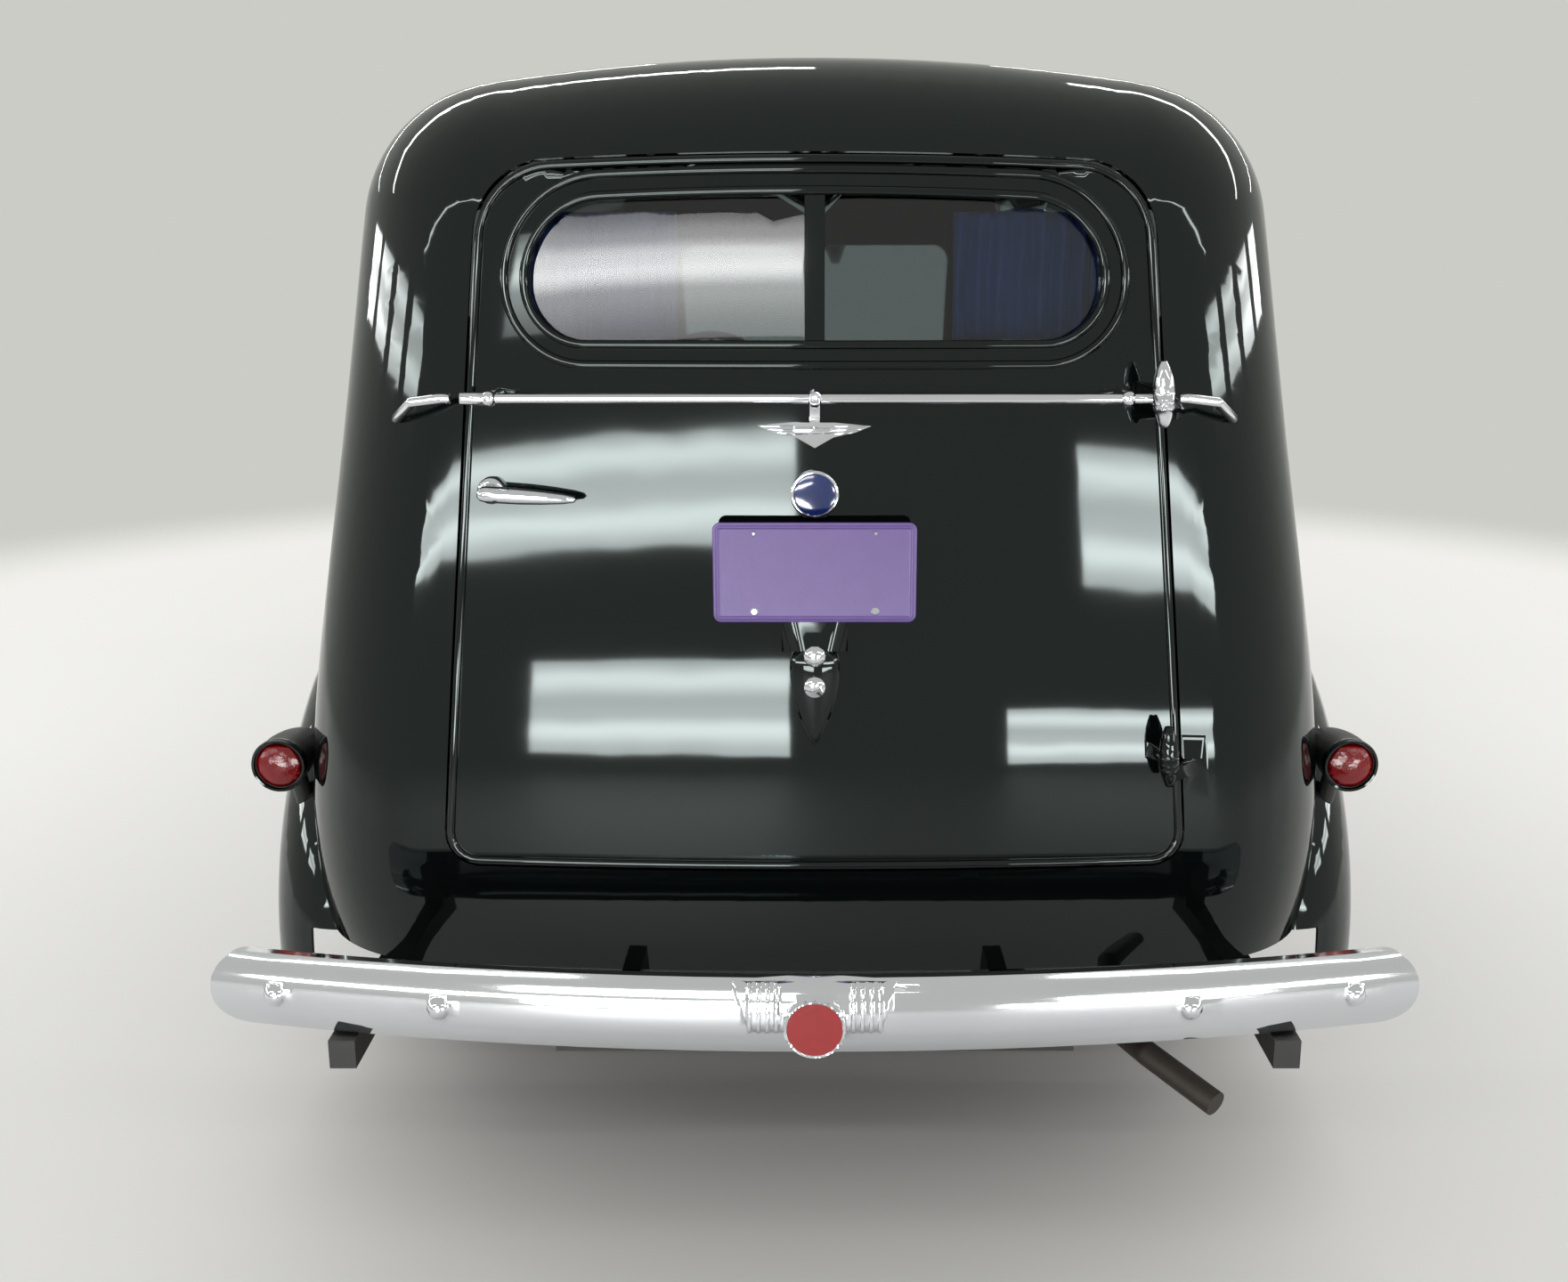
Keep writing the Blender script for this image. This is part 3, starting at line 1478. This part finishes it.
@dataclass
class WheelTrim:
    """Bright hub cap and rim ring on one wheel.

    The cap is a ball's side of a radius and a height. flange adds its radius to the cap's foot, and
    boss adds its distance to the cap's height.
    """

    shop: Workshop
    place: Place
    side: Side
    steps: int = 72
    ball: float = 0.150
    high: float = 0.060
    lift: float = 0.0008
    foot_lap: float = 0.0002
    dome_steps: int = 14
    foot_trim: float = 0.003
    boss_r: float = 0.034
    flange: Profile = ((0.0005, -0.004), (0.0005, 0.006), (0.004, 0.0068), (0.0075, 0.0045), (0.007, 0.0012))
    boss: Profile = ((0.001, 0.033), (0.004, 0.030), (0.007, 0.015), (0.0076, 0.0))
    rim_ring: Profile = ((0.0762, 0.1885), (0.0785, 0.192), (0.0795, 0.200), (0.0785, 0.210),
                         (0.0762, 0.2155), (0.0745, 0.2162), (0.0752, 0.206), (0.0752, 0.196),
                         (0.0762, 0.1885))

    def dress(self) -> None:
        """Spin the cap and the ring."""
        wheel = f"{self.place.value}_{self.side.tag}"
        low, high = corners_of(f"tyre_{wheel}")
        axis = Vector((self.side.value, 0.0, 0.0))
        body = self.shop.body_of(f"wheel_{wheel}")
        for name, profile in (("hub_cap", self.cap()), ("rim_ring", self.rim_ring)):
            self.shop.spin(f"{name}_{wheel}", profile, (low + high) / 2, axis, Skin.CHROME, body, self.steps)

    def cap(self) -> list[tuple[float, float]]:
        """Give the hub cap's profile: a flange, a ball's side and a boss.

        Returns:
            The profile, from its foot outwards.
        """
        foot = math.sqrt(self.ball ** 2 - (self.ball - self.high) ** 2)
        ball = self.ball + self.lift
        wide = math.asin((foot + self.foot_lap) / ball)
        angles = [wide * step / self.dome_steps for step in range(self.dome_steps, -1, -1)]
        dome = [(ball * math.cos(angle) - self.ball + self.high, ball * math.sin(angle))
                for angle in angles]
        return ([(along, foot + reach) for along, reach in self.flange]
                + [(along, reach) for along, reach in dome if self.boss_r < reach < foot - self.foot_trim]
                + [(self.high + along, reach) for along, reach in self.boss])


@dataclass
class BoardRibs:
    """Rubber ribs along the top of both running boards."""

    shop: Workshop
    count: int = 14
    first_x: float = 0.712
    last_x: float = 0.900
    middle_y: float = 0.085
    rib: Point = (0.0055, 2.06, 0.005)
    above: float = 1.0

    def dress(self) -> None:
        """Lay the ribs."""
        boards = surface_of("running_boards", self.shop.frame)
        spots = []
        for side in Side:
            for step in range(self.count):
                x = side.value * (self.first_x + (self.last_x - self.first_x) * step / (self.count - 1))
                top = boards.ray_cast(Vector((x, self.middle_y, self.above)), DOWN)[0]
                spots.append((Vector((x, self.middle_y, top.z + self.rib[2] / 4)), Euler()))
        self.shop.repeat("board_ribs", Unit.BLOCK, dict(zip("XYZ", self.rib)), spots, Skin.TYRE,
                         self.shop.body_of("running_boards"))


@dataclass
class LampRims:
    """Bright rims round the head and tail lamps."""

    shop: Workshop
    head: Point = (0.420, 2.440, 0.960)
    tail: Point = (0.905, -2.420, 0.722)
    head_rim: Profile = ((-0.014, 0.0915), (-0.014, 0.0932), (0.004, 0.0955), (0.010, 0.0935),
                         (0.0115, 0.089), (0.009, 0.0852), (0.0008, 0.0842), (0.0004, 0.0915),
                         (-0.014, 0.0915))
    tail_rim: Profile = ((-0.012, 0.0438), (-0.012, 0.0452), (0.003, 0.0462), (0.0065, 0.0445),
                         (0.006, 0.0408), (0.0002, 0.0398), (0.0002, 0.0438), (-0.012, 0.0438))
    steps: int = 64

    def dress(self) -> None:
        """Spin one rim for each lamp."""
        for label, (x, y, z), profile, axis, skin in (
                ("head", self.head, self.head_rim, FORWARD, Skin.CHROME),
                ("tail", self.tail, self.tail_rim, BACK, Skin.LACQUER)):
            for side in Side:
                self.shop.spin(f"{label}_lamp_rim_{side.tag}", profile, Vector((x * side.value, y, z)), axis,
                               skin, "car", self.steps)


@dataclass(frozen=True)
class Glow:
    """A light panel that only the gloss and the glass show, with its own bright and dim bands.

    bands holds places from its foot (0) to its top (1) with the share of the brightness there.
    """

    name: str
    corner: Point
    along: Point
    up: Point
    bright: float
    bands: tuple[tuple[float, float], ...]

    def hang(self) -> None:
        """Add the panel."""
        foot, along, up = Vector(self.corner), Vector(self.along), Vector(self.up)
        mesh = bpy.data.meshes.new(self.name)
        mesh.from_pydata([foot, foot + along, foot + along + up, foot + up], [], [(0, 1, 2, 3)])
        places = mesh.uv_layers.new(name="places")
        for loop, place in enumerate(((0, 0), (1, 0), (1, 1), (0, 1))):
            places.data[loop].uv = place
        material = bpy.data.materials.new(self.name)
        material.use_nodes = True
        tree = material.node_tree
        tree.nodes.clear()
        place = add_node(tree, "ShaderNodeUVMap", {"uv_map": "places"})
        parts = add_node(tree, "ShaderNodeSeparateXYZ", links={"Vector": place.outputs["UV"]})
        ramp = add_node(tree, "ShaderNodeValToRGB", links={"Fac": parts.outputs["Y"]})
        ramp.color_ramp.interpolation = "EASE"
        while len(ramp.color_ramp.elements) < len(self.bands):
            ramp.color_ramp.elements.new(0.5)
        for element, (height, share) in zip(ramp.color_ramp.elements, self.bands):
            element.position = height
            element.color = (share, share, share, 1.0)
        shine = add_node(tree, "ShaderNodeMath", {"operation": "MULTIPLY"}, {1: self.bright},
                         {0: ramp.outputs["Color"]})
        glow = add_node(tree, "ShaderNodeEmission", links={"Strength": shine.outputs["Value"]})
        out = add_node(tree, "ShaderNodeOutputMaterial")
        tree.links.new(glow.outputs["Emission"], out.inputs["Surface"])
        mesh.materials.append(material)
        panel = bpy.data.objects.new(self.name, mesh)
        panel.visible_camera = False
        panel.visible_diffuse = False
        panel.visible_shadow = False
        panel.visible_transmission = False
        bpy.context.scene.collection.objects.link(panel)


@dataclass
class Studio:
    """Pale floor, plain light and the photograph's camera."""

    eye: Point = (0.0, -5.02, 1.58)
    pitch: float = 13.865
    focal_px: float = 1815.0
    middle_px: float = 915.0
    sensor: float = 36.0
    floor_colour: str = "#F0EFEB"
    wall_colour: str = "#CBCCC6"
    light: float = 0.62
    ceiling: float = 4.0
    tube: tuple[float, float] = (8.0, 0.22)
    tube_bright: float = 15.0
    tube_rows: tuple[tuple[float, float], ...] = ((-0.4, 0.0), (-7.0, 2.0), (4.2, 1.0))
    right_gap: float = 1.1
    floor_half: float = 6.4
    fade_start: float = 4.4
    fade_end: float = 6.0

    def camera(self) -> None:
        """Add the camera where the photograph was taken from."""
        lens = bpy.data.cameras.new("camera")
        lens.sensor_fit = "HORIZONTAL"
        lens.sensor_width = self.sensor
        lens.lens = self.focal_px / PHOTO_WIDE * self.sensor
        lens.shift_x = (PHOTO_WIDE / 2 - self.middle_px) / PHOTO_WIDE
        camera = bpy.data.objects.new("camera", lens)
        camera.location = self.eye
        camera.rotation_euler = (math.radians(90.0 - self.pitch), 0.0, 0.0)
        bpy.context.scene.collection.objects.link(camera)
        bpy.context.scene.camera = camera

    def floor(self) -> None:
        """Add the pale floor, which fades into the wall's colour away from the car."""
        half = self.floor_half
        mesh = mesh_from("floor", lambda form: grid(
            form, 1, 1, lambda across, up: Vector((half * (2 * across - 1), half * (2 * up - 1), 0.0))),
            crease=180.0, turn_out=False)
        floor = bpy.data.objects.new("floor", mesh)
        material = Finish("pale_floor", self.floor_colour, roughness=0.5, grain=0.8).build()
        tree = material.node_tree
        out = next(node for node in tree.nodes if node.type == "OUTPUT_MATERIAL")
        surface = next(node for node in tree.nodes if node.type == "BSDF_PRINCIPLED")
        place = add_node(tree, "ShaderNodeTexCoord")
        reach = add_node(tree, "ShaderNodeVectorMath", {"operation": "LENGTH"},
                         links={0: place.outputs["Object"]})
        fade = add_node(tree, "ShaderNodeMapRange", {"interpolation_type": "SMOOTHSTEP"},
                        {"From Min": self.fade_start, "From Max": self.fade_end},
                        {"Value": reach.outputs["Value"]})
        clear = add_node(tree, "ShaderNodeBsdfTransparent")
        both = add_node(tree, "ShaderNodeMixShader", links={
            0: fade.outputs["Result"], 1: surface.outputs["BSDF"], 2: clear.outputs["BSDF"]})
        tree.links.new(both.outputs["Shader"], out.inputs["Surface"])
        mesh.materials.append(material)
        bpy.context.scene.collection.objects.link(floor)

    def lamps(self) -> None:
        """Hang a tube on each side of every row under the ceiling."""
        long, wide = self.tube
        for row, (y, inner) in enumerate(self.tube_rows):
            for side, gap in ((Side.LEFT, inner), (Side.RIGHT, max(inner, self.right_gap))):
                name = f"row_{row}_{side.tag}"
                lamp = bpy.data.lights.new(name, "AREA")
                lamp.shape = "RECTANGLE"
                lamp.size = long
                lamp.size_y = wide
                lamp.energy = self.tube_bright * math.pi * long * wide
                tube = bpy.data.objects.new(name, lamp)
                tube.location = (side.value * (gap + long / 2), y, self.ceiling)
                tube.rotation_euler = DOWN.to_track_quat("-Z", "Y").to_euler()
                tube.visible_camera = False
                bpy.context.scene.collection.objects.link(tube)

    def glows(self) -> list[Glow]:
        """Give every panel that the lacquer and the glass mirror."""
        two_tubes = ((0.0, 0.5), (0.05, 0.6), (0.28, 1.0), (0.45, 0.6), (0.6, 0.55), (0.82, 0.95),
                     (1.0, 0.5))
        soft = ((0.0, 0.2), (0.3, 0.4), (0.48, 1.0), (0.6, 0.85), (0.8, 0.4), (1.0, 0.2))
        found = [
            Glow("pane_glow", (-4.3, -12.0, 2.45), (4.1, 0.0, 0.0), (0.0, 0.0, 1.85), 22.0, soft),
            Glow("door_high_left", (-9.0, -12.0, 0.72), (8.75, 0.0, 0.0), (0.0, 0.0, 0.75), 25.0, two_tubes),
            Glow("door_high_right", (3.5, -12.0, 0.45), (5.5, 0.0, 0.0), (0.0, 0.0, 1.0), 25.0, two_tubes),
            Glow("door_low_left", (-1.46, -5.6, 0.08), (1.34, 0.0, 0.0), (0.0, 0.0, 0.49), 25.0, two_tubes),
            Glow("door_low_right", (0.98, -5.6, 0.02), (1.5, 0.0, 0.0), (0.0, 0.0, 0.32), 25.0, two_tubes),
        ]
        for side in Side:
            for step, (rear, front) in enumerate(((-9.5, -6.6), (-5.4, -2.8), (-1.7, 0.9), (2.0, 4.6))):
                found.append(Glow(f"wall_{side.tag}_{step}", (12.0 * side.value, rear, 2.55),
                                  (0.0, front - rear, 0.0), (0.0, 0.0, 1.1), 16.0, two_tubes))
        return found

    def world(self) -> None:
        """Give the room an even pale light and a pale wall."""
        world = bpy.data.worlds.new("room")
        world.use_nodes = True
        bpy.context.scene.world = world
        tree = world.node_tree
        tree.nodes.clear()
        out = add_node(tree, "ShaderNodeOutputWorld")
        path = add_node(tree, "ShaderNodeLightPath")
        direct = add_node(tree, "ShaderNodeMath", {"operation": "MAXIMUM"},
                          links={0: path.outputs["Is Camera Ray"], 1: path.outputs["Is Transmission Ray"]})
        seen = add_node(tree, "ShaderNodeMath", {"operation": "MAXIMUM"},
                        links={0: direct.outputs["Value"], 1: path.outputs["Is Glossy Ray"]})
        light = add_node(tree, "ShaderNodeBackground",
                         values={"Color": linear("#FFFFFF"), "Strength": self.light})
        wall = add_node(tree, "ShaderNodeBackground",
                        values={"Color": linear(self.wall_colour), "Strength": 1.0})
        both = add_node(tree, "ShaderNodeMixShader",
                        links={0: seen.outputs["Value"], 1: light.outputs["Background"],
                               2: wall.outputs["Background"]})
        tree.links.new(both.outputs["Shader"], out.inputs["Surface"])

    def build(self) -> None:
        """Set up the camera, floor and light."""
        self.camera()
        self.floor()
        self.lamps()
        for glow in self.glows():
            glow.hang()
        self.world()
        bpy.context.scene.view_settings.view_transform = "Standard"


def main() -> None:
    """Build the whole picture."""
    logging.basicConfig(level=logging.INFO, format="%(name)s: %(message)s")
    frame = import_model()
    Studio().build()
    shop = Workshop(frame)
    tyres = [Tyre(shop, place, side) for place in Place for side in Side]
    replaced = ["side_curtains", "rear_door_curtains", "front_seat", "number_plate", "door_handle"]
    coachwork = Coachwork(shop, left_for_others=(*replaced, *(tyre.node for tyre in tyres)))
    coachwork.dress()
    DoorBeads(shop, coachwork.sweeps["rear_door_skin"]).dress()
    Curtains(shop).dress()
    Bench(shop).dress()
    for tyre in tyres:
        tyre.dress()
        WheelTrim(shop, tyre.place, tyre.side).dress()
    PlatedParts(shop).dress()
    RearTrim(shop).dress()
    LampRims(shop).dress()
    BoardRibs(shop).dress()


if __name__ == "__main__":
    main()
